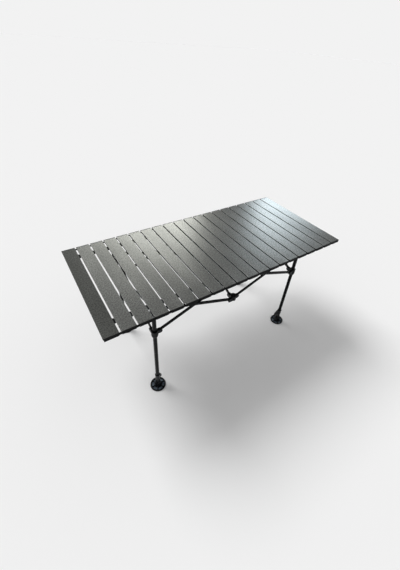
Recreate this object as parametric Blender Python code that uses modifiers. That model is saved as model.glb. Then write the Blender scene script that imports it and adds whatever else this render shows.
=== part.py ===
"""Folding camp table: a roll-up top of aluminium slats on a folding frame of scissor bars.

Metres, +Z up. The origin lies on the floor under the middle of the table. +X runs along its
length to the right and +Y across it to the rear. The table stands open, as it is used.
"""

import math

import bmesh
import bpy
from mathutils import Matrix, Vector

# Top: height over the floor, and the row of slats
TABLE_HEIGHT = 0.560
SLAT_COUNT = 20
SLAT_WIDTH = 0.0545
SLAT_LENGTH = 0.540
SLAT_GAP = 0.0058

# Slat section: a skin that stands past the walls of an open channel with turned-in lips, both of
# them thinner at their edges than at the walls
SLAT_DEPTH = 0.012
SKIN = 0.0015
SKIN_EDGE = 0.0013
SKIN_OVERHANG = 0.00525
SKIN_CHAMFER = 0.0006
WEB = 0.0013
CHANNEL_WALL = 0.0013
LIP_WIDTH = 0.0045
LIP_THICKNESS = 0.0013
LIP_EDGE = 0.0011

# Moulded caps that plug the ends of the channel, and moulded blocks in it that carry the links
CAP_DEPTH = 0.014
BLOCK_MARGIN = 0.0005

# Lugs on the caps, which close the gap between two slats at its ends, under the hinge axis
LUG_LENGTH = 0.0095
LUG_SETBACK = 0.0005
LUG_TOP = 0.0069
LUG_BOTTOM = 0.0098
LUG_PLAY = 0.0003

# Hinge links between the slats
HINGE_INSET = 0.064
HINGE_DEPTH = 0.0065
HINGE_PIN_RADIUS = 0.0016
HINGE_PIN_PLAY = 0.0005
KNUCKLE_RADIUS = 0.0042
EYE_WIDTH = 0.008
FORK_EAR = 0.0056
FORK_PLAY = 0.0004

# Frame: hub axes stand on squares of one spacing, two along and one across
HUB_SPACING = 0.396
SCISSOR_HEIGHT = 0.130
UPPER_PIVOT_DROP = 0.028
TOP_SEAT_GAP = 0.0003

# Scissor bars, their pins and the rivets where they cross
BAR_HEIGHT = 0.0145
BAR_THICKNESS = 0.006
BAR_SPREAD = 0.0006
PIN_RADIUS = 0.0025
PIN_PLAY = 0.0005
RIVET_HEAD_RADIUS = 0.005
RIVET_HEAD = 0.0015
RIVET_PLAY = 0.0003

# Moulded hubs: a round core with a fork for each bar
HUB_RADIUS = 0.014
HUB_CHAMFER = 0.0015
PIVOT_ARM = 0.022
HUB_ROOT = 0.007
CHEEK = 0.0035
CHEEK_RADIUS = 0.0095
CHEEK_PLAY = 0.0004
LOWER_CHEEK_REACH = 0.002
LOWER_CHEEK_DROP = 0.004
TOP_HUB_SKIRT = 0.020
TOP_HUB_ROOF = 0.005
CENTRE_HUB_SKIRT = 0.013
CENTRE_HUB_RISE = 0.014
SLIDER_SKIRT = 0.024
SLIDER_RISE = 0.011
SLIDER_TAPER = 0.009
SLIDER_END_RADIUS = 0.0112

# Legs
LEG_RADIUS = 0.0085
LEG_WALL = 0.0012
LEG_FIT = 0.0003
SLIDER_FIT = 0.0006

# Shoe on the leg's end, with an eye for the foot pin
FOOT_PIN_HEIGHT = 0.028
FOOT_PIN_RADIUS = 0.003
FOOT_PIN_PLAY = 0.0005
SHOE_RADIUS = 0.0115
SHOE_NECK_RADIUS = 0.0075
SHOE_TOP = 0.088
SHOE_BORE_FLOOR = 0.056
SHOE_BOTTOM = 0.048
SHOE_TAPER = 0.006
SHOE_EYE_RADIUS = 0.009
SHOE_EYE_WIDTH = 0.012

# Fin on the shoe, on the side of the table's middle: it slopes out and down from the collar
FIN_WIDTH = 0.008
FIN_TOP = 0.084
FIN_SHOULDER = 0.0135
FIN_REACH = 0.025
FIN_ELBOW = 0.058
FIN_BOTTOM = 0.042
FIN_FOOT = 0.050

# Round foot pad with a raised rim, a ring of windows between its spokes, and two ears
PAD_RADIUS = 0.0365
PAD_RIM_WIDTH = 0.005
PAD_RIM_HEIGHT = 0.007
PAD_WEB = 0.0035
PAD_BOSS_RADIUS = 0.0155
PAD_BOSS_HEIGHT = 0.008
PAD_CHAMFER = 0.001
WINDOW_INNER = 0.019
WINDOW_OUTER = 0.0295
WINDOW_COUNT = 6
SPOKE_ANGLE = 13.0
PAD_EAR = 0.005
PAD_EAR_PLAY = 0.0004
PAD_EAR_RADIUS = 0.010
PAD_EAR_BASE = 0.012
PAD_EAR_DROP = 20.0
FOOT_TURN = -30.0

# How far a joined piece reaches into the other, and a cut past it
BITE = 0.0005

# Points this close are one point, and edges bent by more than this angle stay sharp
WELD_DISTANCE = 1e-6
SHARP_ANGLE = 35.0

# Facets of round shapes
TUBE_STEPS = 12
PIN_STEPS = 8
KNUCKLE_STEPS = 6
PAD_STEPS = 18
END_STEPS = 4
WINDOW_STEPS = 2

# Places worked out from the sizes
SLAT_PITCH = SLAT_WIDTH + SLAT_GAP
CHANNEL_HALF = SLAT_WIDTH / 2 - SKIN_OVERHANG
BLOCK_WIDTH = EYE_WIDTH + 2 * (FORK_PLAY + FORK_EAR + BLOCK_MARGIN)
SEAT_Z = TABLE_HEIGHT - SLAT_DEPTH - TOP_SEAT_GAP
UPPER_Z = SEAT_Z - UPPER_PIVOT_DROP
LOWER_Z = UPPER_Z - SCISSOR_HEIGHT
BAR_RUN = HUB_SPACING - 2 * PIVOT_ARM
BAR_LENGTH = math.hypot(BAR_RUN, SCISSOR_HEIGHT)
BAR_OFFSET = (BAR_THICKNESS + BAR_SPREAD) / 2
CHEEK_GAP = BAR_THICKNESS + 2 * CHEEK_PLAY
HUB_END = (HUB_RADIUS - HUB_CHAMFER, HUB_CHAMFER)
LEG_TOP = SEAT_Z - TOP_HUB_ROOF - LEG_FIT
LEG_BOTTOM = SHOE_BORE_FLOOR + LEG_FIT
EAR_GAP = SHOE_EYE_WIDTH + 2 * PAD_EAR_PLAY

# Hub columns: f and r are the front and rear rows, l, c and r the left, centre and right columns
ROW_Y = {"f": -HUB_SPACING / 2, "r": HUB_SPACING / 2}
COLUMN_X = {"l": -HUB_SPACING, "c": 0.0, "r": HUB_SPACING}
INWARD = {"f": 90.0, "r": -90.0}
ALONG = {"l": (0.0,), "c": (0.0, 180.0), "r": (180.0,)}


# Materials


def make_material(name, colour, roughness, metallic):
    material = bpy.data.materials.new(name)
    material.use_nodes = True
    shader = material.node_tree.nodes["Principled BSDF"]
    shader.inputs["Base Color"].default_value = (*colour, 1.0)
    shader.inputs["Roughness"].default_value = roughness
    shader.inputs["Metallic"].default_value = metallic
    material.diffuse_color = (*colour, 1.0)
    return material


# Simple solids, each returned as an object that is used up by a later union or cut


def add_object(name, data, collection):
    obj = bpy.data.objects.new(name, data)
    collection.objects.link(obj)
    return obj


def evaluated_mesh(obj):
    """The object's mesh with its modifiers and its place applied, as a mesh of its own."""
    graph = bpy.context.evaluated_depsgraph_get()
    mesh = bpy.data.meshes.new_from_object(obj.evaluated_get(graph))
    mesh.transform(obj.matrix_world)
    return mesh


def weld(mesh):
    """Joins the loose caps of a filled curve to its sides and turns every face outwards."""
    shape = bmesh.new()
    shape.from_mesh(mesh)
    bmesh.ops.remove_doubles(shape, verts=shape.verts, dist=WELD_DISTANCE)
    bmesh.ops.recalc_face_normals(shape, faces=shape.faces)
    shape.to_mesh(mesh)
    shape.free()


def arc(centre, radius, start, end, steps):
    """Points along an arc, with its angles in degrees."""
    points = []
    for i in range(steps + 1):
        angle = math.radians(start + (end - start) * i / steps)
        points.append((centre[0] + radius * math.cos(angle), centre[1] + radius * math.sin(angle)))
    return points


def circle(centre, radius, steps):
    return arc(centre, radius, 0, 360, steps)[:-1]


def prism(outline, holes, thickness, place):
    """A flat outline with holes, thickness deep. The outline's x and y stand for X and Z, and the
    depth runs along Y, half to each side, before it is put in its place."""
    curve = bpy.data.curves.new("outline", "CURVE")
    curve.dimensions = "2D"
    curve.fill_mode = "BOTH"
    curve.extrude = thickness / 2
    for points in [outline, *holes]:
        spline = curve.splines.new("POLY")
        spline.points.add(len(points) - 1)
        for point, (x, y) in zip(spline.points, points):
            point.co = (x, y, 0.0, 1.0)
        spline.use_cyclic_u = True
    flat = add_object("outline", curve, cutters)
    flat.matrix_world = place @ Matrix.Rotation(math.radians(90), 4, "X")
    bpy.context.view_layer.update()
    mesh = evaluated_mesh(flat)
    bpy.data.objects.remove(flat)
    weld(mesh)
    return add_object("prism", mesh, cutters)


def turned(profile, steps, closed, place):
    """A turned solid about Z. Its profile of radius and height runs down the outer side."""
    mesh = bpy.data.meshes.new("profile")
    edges = [(i, i + 1) for i in range(len(profile) - 1)]
    if closed:
        edges.append((len(profile) - 1, 0))
    mesh.from_pydata([(radius, 0.0, height) for radius, height in profile], edges, [])
    obj = add_object("turned", mesh, cutters)
    screw = obj.modifiers.new("turn", "SCREW")
    screw.steps = steps
    screw.render_steps = steps
    screw.use_merge_vertices = True
    screw.merge_threshold = WELD_DISTANCE
    bpy.context.view_layer.update()
    solid = evaluated_mesh(obj)
    bpy.data.objects.remove(obj)
    weld(solid)
    solid.transform(place)
    return add_object("turned", solid, cutters)


def rod(radius, length, steps, place):
    """A cylinder along Y, centred on its place."""
    half = length / 2
    lying = place @ Matrix.Rotation(math.radians(90), 4, "X")
    return turned([(0, half), (radius, half), (radius, -half), (0, -half)], steps, False, lying)


def merged(objects):
    """One object of several solids that don't touch each other."""
    shape = bmesh.new()
    for obj in objects:
        shape.from_mesh(obj.data)
        bpy.data.objects.remove(obj)
    mesh = bpy.data.meshes.new("merged")
    shape.to_mesh(mesh)
    shape.free()
    return add_object("merged", mesh, cutters)


def fused(base, steps):
    """The mesh of the base after each step, a pair of UNION or DIFFERENCE and its tool."""
    for operation, tool in steps:
        tool.hide_render = True
        tool.display_type = "WIRE"
        boolean = base.modifiers.new(operation.lower(), "BOOLEAN")
        boolean.operation = operation
        boolean.solver = "EXACT"
        boolean.object = tool
    bpy.context.view_layer.update()
    mesh = evaluated_mesh(base)
    for obj in [base, *(tool for _, tool in steps)]:
        bpy.data.objects.remove(obj)
    return mesh


def smoothed(mesh):
    mesh.shade_smooth()
    mesh.set_sharp_from_angle(angle=math.radians(SHARP_ANGLE))
    return mesh


def at(x, y, z, turn=0.0):
    return Matrix.Translation((x, y, z)) @ Matrix.Rotation(math.radians(turn), 4, "Z")


# Slats


def mirrored(right_half):
    """A whole outline from its right half, which starts and ends beside the middle line."""
    return right_half + [(-x, z) for x, z in reversed(right_half)]


def slat_outline():
    """The slat's outer section: a skin that stands past the sides of the channel under it."""
    edge = SLAT_WIDTH / 2
    return mirrored([
        (edge - SKIN_CHAMFER, 0),
        (edge, -SKIN_CHAMFER),
        (edge, -SKIN_EDGE),
        (CHANNEL_HALF, -SKIN),
        (CHANNEL_HALF, -SLAT_DEPTH),
    ])


def cavity_outline():
    """The hollow of the channel, which opens downwards between its two lips."""
    inner = CHANNEL_HALF - CHANNEL_WALL
    lip = CHANNEL_HALF - LIP_WIDTH
    return mirrored([
        (inner, -WEB),
        (inner, LIP_THICKNESS - SLAT_DEPTH),
        (lip, LIP_EDGE - SLAT_DEPTH),
        (lip, -SLAT_DEPTH - BITE),
    ])


def link_outline(side):
    """The side view of a link's ear or eye, with its round end on the hinge axis."""
    root = SLAT_PITCH / 2 - CHANNEL_HALF + BITE
    end = arc((0, 0), KNUCKLE_RADIUS, -90, 90, KNUCKLE_STEPS // 2)
    outline = [*end, (-root, KNUCKLE_RADIUS), (-root, -KNUCKLE_RADIUS)]
    return [(side * x, z) for x, z in outline]


def lug_outline(side):
    """The end view of a cap's lug, which reaches almost to the middle of the gap."""
    reach = (SLAT_PITCH - LUG_PLAY) / 2
    outline = [
        (CHANNEL_HALF - BITE, -LUG_TOP),
        (CHANNEL_HALF - BITE, -LUG_BOTTOM),
        (reach, -LUG_BOTTOM),
        (reach, -LUG_TOP),
    ]
    return [(side * x, z) for x, z in outline]


def slat_mesh(has_fork, has_eye):
    """A slat at the origin, with its top at height 0 and its length along Y."""
    end = SLAT_LENGTH / 2
    row = end - HINGE_INSET
    slat = prism(slat_outline(), [], SLAT_LENGTH, at(0, 0, 0))
    cavities = []
    for start, stop in (
        (CAP_DEPTH - end, -row - BLOCK_WIDTH / 2),
        (BLOCK_WIDTH / 2 - row, row - BLOCK_WIDTH / 2),
        (row + BLOCK_WIDTH / 2, end - CAP_DEPTH),
    ):
        cavities.append(prism(cavity_outline(), [], stop - start, at(0, (start + stop) / 2, 0)))
    links = []
    pins = []
    for y in (-row, row):
        if has_fork:
            x = SLAT_PITCH / 2
            ear_y = EYE_WIDTH / 2 + FORK_PLAY + FORK_EAR / 2
            links.append(prism(link_outline(1), [], FORK_EAR, at(x, y - ear_y, -HINGE_DEPTH)))
            links.append(prism(link_outline(1), [], FORK_EAR, at(x, y + ear_y, -HINGE_DEPTH)))
            pins.append(rod(HINGE_PIN_RADIUS, 2 * ear_y, KNUCKLE_STEPS, at(x, y, -HINGE_DEPTH)))
        if has_eye:
            bore = circle((0, 0), HINGE_PIN_RADIUS + HINGE_PIN_PLAY, KNUCKLE_STEPS)
            links.append(prism(link_outline(-1), [bore], EYE_WIDTH, at(-SLAT_PITCH / 2, y, -HINGE_DEPTH)))
    lugs = []
    lug_y = end - LUG_SETBACK - LUG_LENGTH / 2
    for side in (1,) * has_fork + (-1,) * has_eye:
        for y in (-lug_y, lug_y):
            lugs.append(prism(lug_outline(side), [], LUG_LENGTH, at(0, y, 0)))
    steps = [("DIFFERENCE", merged(cavities)), ("UNION", merged(links + lugs))]
    if pins:
        steps.append(("UNION", merged(pins)))
    return smoothed(fused(slat, steps))


def make_slats(top, material):
    first = slat_mesh(True, False)
    middle = slat_mesh(True, True)
    last = slat_mesh(False, True)
    for number in range(1, SLAT_COUNT + 1):
        mesh = first if number == 1 else last if number == SLAT_COUNT else middle
        x = (number - (SLAT_COUNT + 1) / 2) * SLAT_PITCH
        slat = place(f"slat_{number:02d}", mesh, material, Matrix.Translation((x, 0, TABLE_HEIGHT)))
        slat.parent = top


# Scissor bars


def bar_outline(start, end):
    """A flat bar's side view, with round ends about its two end pins."""
    radius = BAR_HEIGHT / 2
    return arc((end, 0), radius, -90, 90, END_STEPS) + arc((start, 0), radius, 90, 270, END_STEPS)


def riveted_bar_mesh():
    """A bar along +X from its first pin, with the crossing's rivet towards +Y."""
    holes = [circle((x, 0), PIN_RADIUS + PIN_PLAY, PIN_STEPS) for x in (0, BAR_LENGTH)]
    bar = prism(bar_outline(0, BAR_LENGTH), holes, BAR_THICKNESS, at(0, 0, 0))
    near = BAR_THICKNESS / 2
    far = near + BAR_SPREAD + BAR_THICKNESS + RIVET_PLAY
    profile = [
        (0, far + RIVET_HEAD),
        (RIVET_HEAD_RADIUS, far + RIVET_HEAD),
        (RIVET_HEAD_RADIUS, far),
        (PIN_RADIUS, far),
        (PIN_RADIUS, BITE - near),
        (RIVET_HEAD_RADIUS, BITE - near),
        (RIVET_HEAD_RADIUS, -near - RIVET_HEAD),
        (0, -near - RIVET_HEAD),
    ]
    lying = at(BAR_LENGTH / 2, 0, 0) @ Matrix.Rotation(math.radians(-90), 4, "X")
    return smoothed(fused(bar, [("UNION", turned(profile, PIN_STEPS, False, lying))]))


def bored_bar_mesh():
    """A bar along X with its middle bore at the origin."""
    half = BAR_LENGTH / 2
    holes = [circle((x, 0), PIN_RADIUS + PIN_PLAY, PIN_STEPS) for x in (-half, 0, half)]
    bar = prism(bar_outline(-half, half), holes, BAR_THICKNESS, at(0, 0, 0))
    return smoothed(fused(bar, []))


def bar_place(pivot, along, towards):
    """A bar's place: its pin, the way it runs, and the side that its rivet points to."""
    x_axis = Vector(along).normalized()
    y_axis = Vector(towards)
    z_axis = x_axis.cross(y_axis)
    turn = Matrix((x_axis, y_axis, z_axis)).transposed().to_4x4()
    return Matrix.Translation(pivot) @ turn


def make_pair(name, start, heading, first_end, riveted, bored, material, parent):
    """Two crossed bars between the hub at start and the next hub in the way of heading.

    The riveted bar joins the upper hub at start to the lower one, or the other way round where
    first_end is low. Its joint is its first pin, and the bored bar's joint is the crossing.
    """
    way = Vector((math.cos(math.radians(heading)), math.sin(math.radians(heading)), 0))
    right = Vector((way.y, -way.x, 0))
    side = right if first_end == "high" else -right
    slope = -1 if first_end == "high" else 1
    z = UPPER_Z if first_end == "high" else LOWER_Z
    pin = Vector((start[0], start[1], z)) + way * PIVOT_ARM + side * BAR_OFFSET
    rise = Vector((0, 0, slope * SCISSOR_HEIGHT))
    crossing = Vector((start[0], start[1], (UPPER_Z + LOWER_Z) / 2)) + way * (HUB_SPACING / 2)
    bars = [
        (f"bar_{name}_outer", riveted, bar_place(pin, way * BAR_RUN + rise, -side)),
        (f"bar_{name}_inner", bored, bar_place(crossing - side * BAR_OFFSET, way * BAR_RUN - rise, -side)),
    ]
    for bar_name, mesh, matrix in bars:
        place(bar_name, mesh, material, matrix).parent = parent


def make_bars(frame, material):
    riveted = riveted_bar_mesh()
    bored = bored_bar_mesh()
    for row in "fr":
        y = ROW_Y[row]
        left = (COLUMN_X["l"], y)
        centre = (COLUMN_X["c"], y)
        right = (COLUMN_X["r"], y)
        make_pair(f"{row}l", left, 0, "high", riveted, bored, material, frame)
        if row == "f":
            make_pair(f"{row}r", centre, 0, "low", riveted, bored, material, frame)
        else:
            make_pair(f"{row}r", right, 180, "high", riveted, bored, material, frame)
    for column in "lcr":
        start = (COLUMN_X[column], ROW_Y["f"])
        make_pair(f"across_{column}", start, 90, "high", riveted, bored, material, frame)


# Hubs


def cheek_outline(upper):
    """The side view of a fork's cheek about its pin, which hangs lower on a lower hub."""
    reach = PIVOT_ARM if upper else PIVOT_ARM + LOWER_CHEEK_REACH
    drop = 0 if upper else LOWER_CHEEK_DROP
    outline = arc((reach, -drop), CHEEK_RADIUS, -90, 90, END_STEPS)
    return outline + [(HUB_ROOT, CHEEK_RADIUS - drop), (HUB_ROOT, -CHEEK_RADIUS - drop)]


def hub_mesh(headings, upper, top, bottom, end, bore):
    """A hub about Z with its pins at height 0, with one fork for each heading in degrees.

    A fork lies beside the hub's middle line, to the right of its heading on an upper hub and to
    the left on a lower one, so that the two bars of a pair pass each other. The core narrows at
    its lower end to the radius of end, over the height of end.
    """
    end_radius, end_height = end
    core = turned([
        (0, top),
        (HUB_RADIUS - HUB_CHAMFER, top),
        (HUB_RADIUS, top - HUB_CHAMFER),
        (HUB_RADIUS, bottom + end_height),
        (end_radius, bottom),
        (0, bottom),
    ], TUBE_STEPS, False, at(0, 0, 0))
    steps = []
    pins = []
    middle = -BAR_OFFSET if upper else BAR_OFFSET
    cheek_y = (CHEEK_GAP + CHEEK) / 2
    outline = cheek_outline(upper)
    for heading in headings:
        turn = at(0, 0, 0, heading)
        cheeks = [prism(outline, [], CHEEK, turn @ at(0, middle + y, 0)) for y in (-cheek_y, cheek_y)]
        steps.append(("UNION", merged(cheeks)))
        pins.append(rod(PIN_RADIUS, CHEEK_GAP + CHEEK, PIN_STEPS, turn @ at(PIVOT_ARM, middle, 0)))
    steps.append(("UNION", merged(pins)))
    if bore:
        radius, high, low = bore
        profile = [(0, high), (radius, high), (radius, low), (0, low)]
        steps.append(("DIFFERENCE", turned(profile, TUBE_STEPS, False, at(0, 0, 0))))
    return smoothed(fused(core, steps))


def make_centre_hubs(frame, material):
    for row in "fr":
        headings = (*ALONG["c"], INWARD[row])
        y = ROW_Y[row]
        upper = hub_mesh(headings, True, SEAT_Z - UPPER_Z, -CENTRE_HUB_SKIRT, HUB_END, None)
        lower = hub_mesh(headings, False, CENTRE_HUB_RISE, -CENTRE_HUB_SKIRT, HUB_END, None)
        place(f"upper_centre_hub_{row}", upper, material, at(0, y, UPPER_Z)).parent = frame
        place(f"lower_centre_hub_{row}", lower, material, at(0, y, LOWER_Z)).parent = frame


# Legs and feet


def leg_mesh():
    inner = LEG_RADIUS - LEG_WALL
    height = LEG_TOP - LEG_BOTTOM
    profile = [(inner, height), (LEG_RADIUS, height), (LEG_RADIUS, 0), (inner, 0)]
    tube = turned(profile, TUBE_STEPS, True, at(0, 0, 0))
    return smoothed(fused(tube, []))


def shoe_mesh(inward):
    """A shoe about its foot pin, which runs along X: a collar for the leg, an eye below it and a
    fin on the side of the table's middle, which lies in the inward heading."""
    bore = LEG_RADIUS + LEG_FIT
    collar = turned([
        (0, SHOE_BORE_FLOOR),
        (bore, SHOE_BORE_FLOOR),
        (bore, SHOE_TOP),
        (SHOE_RADIUS - HUB_CHAMFER, SHOE_TOP),
        (SHOE_RADIUS, SHOE_TOP - HUB_CHAMFER),
        (SHOE_RADIUS, SHOE_BOTTOM + SHOE_TAPER),
        (SHOE_NECK_RADIUS, SHOE_BOTTOM),
        (0, SHOE_BOTTOM),
    ], TUBE_STEPS, False, at(0, 0, -FOOT_PIN_HEIGHT))
    root = SHOE_BORE_FLOOR - FOOT_PIN_HEIGHT - BITE
    outline = arc((0, 0), SHOE_EYE_RADIUS, -180, 0, END_STEPS)
    outline += [(SHOE_EYE_RADIUS, root), (-SHOE_EYE_RADIUS, root)]
    bore_outline = circle((0, 0), FOOT_PIN_RADIUS + FOOT_PIN_PLAY, PIN_STEPS)
    eye = prism(outline, [bore_outline], SHOE_EYE_WIDTH, at(0, 0, 0, 90))
    fin_root = (bore + SHOE_RADIUS) / 2
    fin_outline = [
        (fin_root, FIN_TOP),
        (FIN_SHOULDER, FIN_TOP),
        (FIN_REACH, FIN_ELBOW),
        (FIN_REACH, FIN_BOTTOM),
        (fin_root, FIN_FOOT),
    ]
    fin = prism(fin_outline, [], FIN_WIDTH, at(0, 0, -FOOT_PIN_HEIGHT, inward - FOOT_TURN))
    return smoothed(fused(collar, [("UNION", eye), ("UNION", fin)]))


def window_outline(number):
    pitch = 360 / WINDOW_COUNT
    low = number * pitch - (pitch - SPOKE_ANGLE) / 2
    high = number * pitch + (pitch - SPOKE_ANGLE) / 2
    outer = arc((0, 0), WINDOW_OUTER, low, high, WINDOW_STEPS)
    return outer + arc((0, 0), WINDOW_INNER, high, low, WINDOW_STEPS)


def pad_mesh():
    """A foot pad about its foot pin, which runs along X."""
    floor = -FOOT_PIN_HEIGHT
    rim_inner = PAD_RADIUS - PAD_RIM_WIDTH
    disc = turned([
        (0, PAD_BOSS_HEIGHT),
        (PAD_BOSS_RADIUS, PAD_BOSS_HEIGHT),
        (PAD_BOSS_RADIUS + PAD_CHAMFER, PAD_WEB),
        (rim_inner - PAD_CHAMFER, PAD_WEB),
        (rim_inner, PAD_RIM_HEIGHT),
        (PAD_RADIUS - 2 * PAD_CHAMFER, PAD_RIM_HEIGHT),
        (PAD_RADIUS, PAD_WEB),
        (PAD_RADIUS, 0),
        (0, 0),
    ], PAD_STEPS, False, at(0, 0, floor))
    depth = PAD_BOSS_HEIGHT + PAD_RIM_HEIGHT
    upright = Matrix.Translation((0, 0, floor)) @ Matrix.Rotation(math.radians(-90), 4, "X")
    windows = merged([prism(window_outline(i), [], 2 * depth, upright) for i in range(WINDOW_COUNT)])
    outline = arc((0, 0), PAD_EAR_RADIUS, -PAD_EAR_DROP, 180 + PAD_EAR_DROP, END_STEPS)
    foot = PAD_WEB / 2 - FOOT_PIN_HEIGHT
    outline += [(-PAD_EAR_BASE, foot), (PAD_EAR_BASE, foot)]
    ear_x = (EAR_GAP + PAD_EAR) / 2
    ears = merged([prism(outline, [], PAD_EAR, at(x, 0, 0, 90)) for x in (-ear_x, ear_x)])
    pin = rod(FOOT_PIN_RADIUS, EAR_GAP + PAD_EAR, PIN_STEPS, at(0, 0, 0, 90))
    return smoothed(fused(disc, [("DIFFERENCE", windows), ("UNION", ears), ("UNION", pin)]))


def make_legs(frame, plastic, tube_material):
    tube = leg_mesh()
    pad = pad_mesh()
    for row in "fr":
        for column in "lr":
            name = row + column
            headings = (*ALONG[column], INWARD[row])
            blind = (LEG_RADIUS + LEG_FIT, SEAT_Z - TOP_HUB_ROOF - UPPER_Z, -2 * TOP_HUB_SKIRT)
            top_hub = hub_mesh(headings, True, SEAT_Z - UPPER_Z, -TOP_HUB_SKIRT, HUB_END, blind)
            through = (LEG_RADIUS + SLIDER_FIT, 2 * SLIDER_RISE, -2 * SLIDER_SKIRT)
            taper = (SLIDER_END_RADIUS, SLIDER_TAPER)
            slider = hub_mesh(headings, False, SLIDER_RISE, -SLIDER_SKIRT, taper, through)
            shoe = shoe_mesh(math.degrees(math.atan2(-ROW_Y[row], -COLUMN_X[column])))
            leg = bpy.data.objects.new(f"leg_{name}", None)
            parts.objects.link(leg)
            leg.location = (COLUMN_X[column], ROW_Y[row], 0)
            leg.parent = frame
            for piece, mesh, material, height, turn in (
                ("leg_tube", tube, tube_material, LEG_BOTTOM, 0),
                ("top_hub", top_hub, plastic, UPPER_Z, 0),
                ("slider", slider, plastic, LOWER_Z, 0),
                ("foot_shoe", shoe, plastic, FOOT_PIN_HEIGHT, FOOT_TURN),
                ("foot_pad", pad, plastic, FOOT_PIN_HEIGHT, FOOT_TURN),
            ):
                place(f"{piece}_{name}", mesh, material, at(0, 0, height, turn)).parent = leg


def place(name, mesh, material, matrix):
    """A finished piece in the parts collection. Pieces of one shape share their mesh."""
    if not mesh.materials:
        mesh.materials.append(material)
    obj = add_object(name, mesh, parts)
    obj.matrix_world = matrix
    return obj


for old in list(bpy.data.objects):
    bpy.data.objects.remove(old)

parts = bpy.data.collections.new("folding_camp_table")
cutters = bpy.data.collections.new("cutters")
bpy.context.scene.collection.children.link(parts)
bpy.context.scene.collection.children.link(cutters)

slat_metal = make_material("coated_slat", (0.17, 0.17, 0.16), 0.45, 0.6)
bar_metal = make_material("coated_bar", (0.012, 0.013, 0.015), 0.4, 0.6)
nylon = make_material("moulded_nylon", (0.01, 0.011, 0.013), 0.5, 0.0)

slat_top = bpy.data.objects.new("slat_top", None)
folding_frame = bpy.data.objects.new("folding_frame", None)
for empty in (slat_top, folding_frame):
    parts.objects.link(empty)

make_slats(slat_top, slat_metal)
make_bars(folding_frame, bar_metal)
make_centre_hubs(folding_frame, nylon)
make_legs(folding_frame, nylon, bar_metal)
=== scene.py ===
"""The looks of the folding camp table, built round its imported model: metres, +Z up."""

import math

import bmesh
import bpy
from mathutils import Matrix, Vector


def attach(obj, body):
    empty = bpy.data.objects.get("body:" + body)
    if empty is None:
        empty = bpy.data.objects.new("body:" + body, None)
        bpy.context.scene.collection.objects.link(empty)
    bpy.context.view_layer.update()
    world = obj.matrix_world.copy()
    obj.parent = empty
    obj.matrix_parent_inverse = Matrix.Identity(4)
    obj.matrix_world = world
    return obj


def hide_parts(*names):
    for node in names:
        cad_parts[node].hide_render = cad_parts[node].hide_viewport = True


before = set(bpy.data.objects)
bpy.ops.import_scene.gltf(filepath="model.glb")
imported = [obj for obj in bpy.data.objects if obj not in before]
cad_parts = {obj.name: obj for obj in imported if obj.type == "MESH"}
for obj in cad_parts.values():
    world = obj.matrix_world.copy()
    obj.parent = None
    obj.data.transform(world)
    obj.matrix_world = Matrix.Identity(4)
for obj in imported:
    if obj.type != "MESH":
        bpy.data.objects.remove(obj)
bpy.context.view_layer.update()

MM = 0.001

# The roll-up top
TABLE_HEIGHT = 0.560
SLAT_COUNT = 20
SLAT_WIDTH = 0.0545
SLAT_LENGTH = 0.540
SLAT_GAP = 0.0058
SLAT_DEPTH = 0.012
SKIN = 0.0015
SKIN_EDGE = 0.0013
# The skin reaches 5.25 mm past the channel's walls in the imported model, which stand further in
SKIN_OVERHANG = 0.0026
SKIN_NOSE_RADIUS = 0.0007
SKIN_EDGE_RADIUS = 0.0004
WEB = 0.0013
WEB_RADIUS = 0.0006
CHANNEL_WALL = 0.0013
CHANNEL_ROOT_RADIUS = 0.0005
CHANNEL_FOOT_RADIUS = 0.0007
LIP_WIDTH = 0.0045
LIP_THICKNESS = 0.0013
LIP_EDGE = 0.0011
LIP_RADIUS = 0.0004
LIP_ROOT_RADIUS = 0.0005
CAP_THICKNESS = 0.004
CAP_PLUG = 0.010
CAP_SHY = 0.00015
CAP_FOOT_RADIUS = 0.0009
LUG_LENGTH = 0.0095
LUG_SETBACK = 0.0005
LUG_TOP = 0.0069
LUG_BOTTOM = 0.0098
LUG_PLAY = 0.0003
LUG_ROOT = 0.0005

# The links between the slats
HINGE_INSET = 0.064
HINGE_DEPTH = 0.0065
KNUCKLE_RADIUS = 0.0042
EYE_WIDTH = 0.008
FORK_EAR = 0.0056
FORK_PLAY = 0.0004
BLOCK_MARGIN = 0.0005
BLOCK_RADIUS = 0.0003
LINK_PIN_RADIUS = 0.0016
LINK_PIN_ROUND = 0.0004

# The folding frame
HUB_SPACING = 0.396
SCISSOR_HEIGHT = 0.130
UPPER_PIVOT_DROP = 0.028
TOP_SEAT_GAP = 0.0003
BAR_HEIGHT = 0.0145
BAR_THICKNESS = 0.006
BAR_SPREAD = 0.0006
PIN_RADIUS = 0.0025
RIVET_HEAD_RADIUS = 0.005
RIVET_HEAD = 0.0015
HUB_PIN_HEAD_RADIUS = 0.0042
HUB_PIN_HEAD = 0.0012
HUB_RADIUS = 0.014
HUB_CHAMFER = 0.0015
HUB_ROOT = 0.007
HUB_BORE_END = 0.001
PIVOT_ARM = 0.022
CHEEK = 0.0035
CHEEK_PLAY = 0.0004
CHEEK_RADIUS = 0.0095
LOWER_CHEEK_REACH = 0.002
LOWER_CHEEK_DROP = 0.004
TOP_HUB_SKIRT = 0.020
TOP_HUB_ROOF = 0.005
CENTRE_HUB_SKIRT = 0.013
CENTRE_HUB_RISE = 0.014
SLIDER_SKIRT = 0.024
SLIDER_RISE = 0.011
SLIDER_TAPER = 0.009
SLIDER_END_RADIUS = 0.0112
SLIDER_FIT = 0.0006
LEG_RADIUS = 0.0085
LEG_WALL = 0.0012
LEG_FIT = 0.0003

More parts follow.
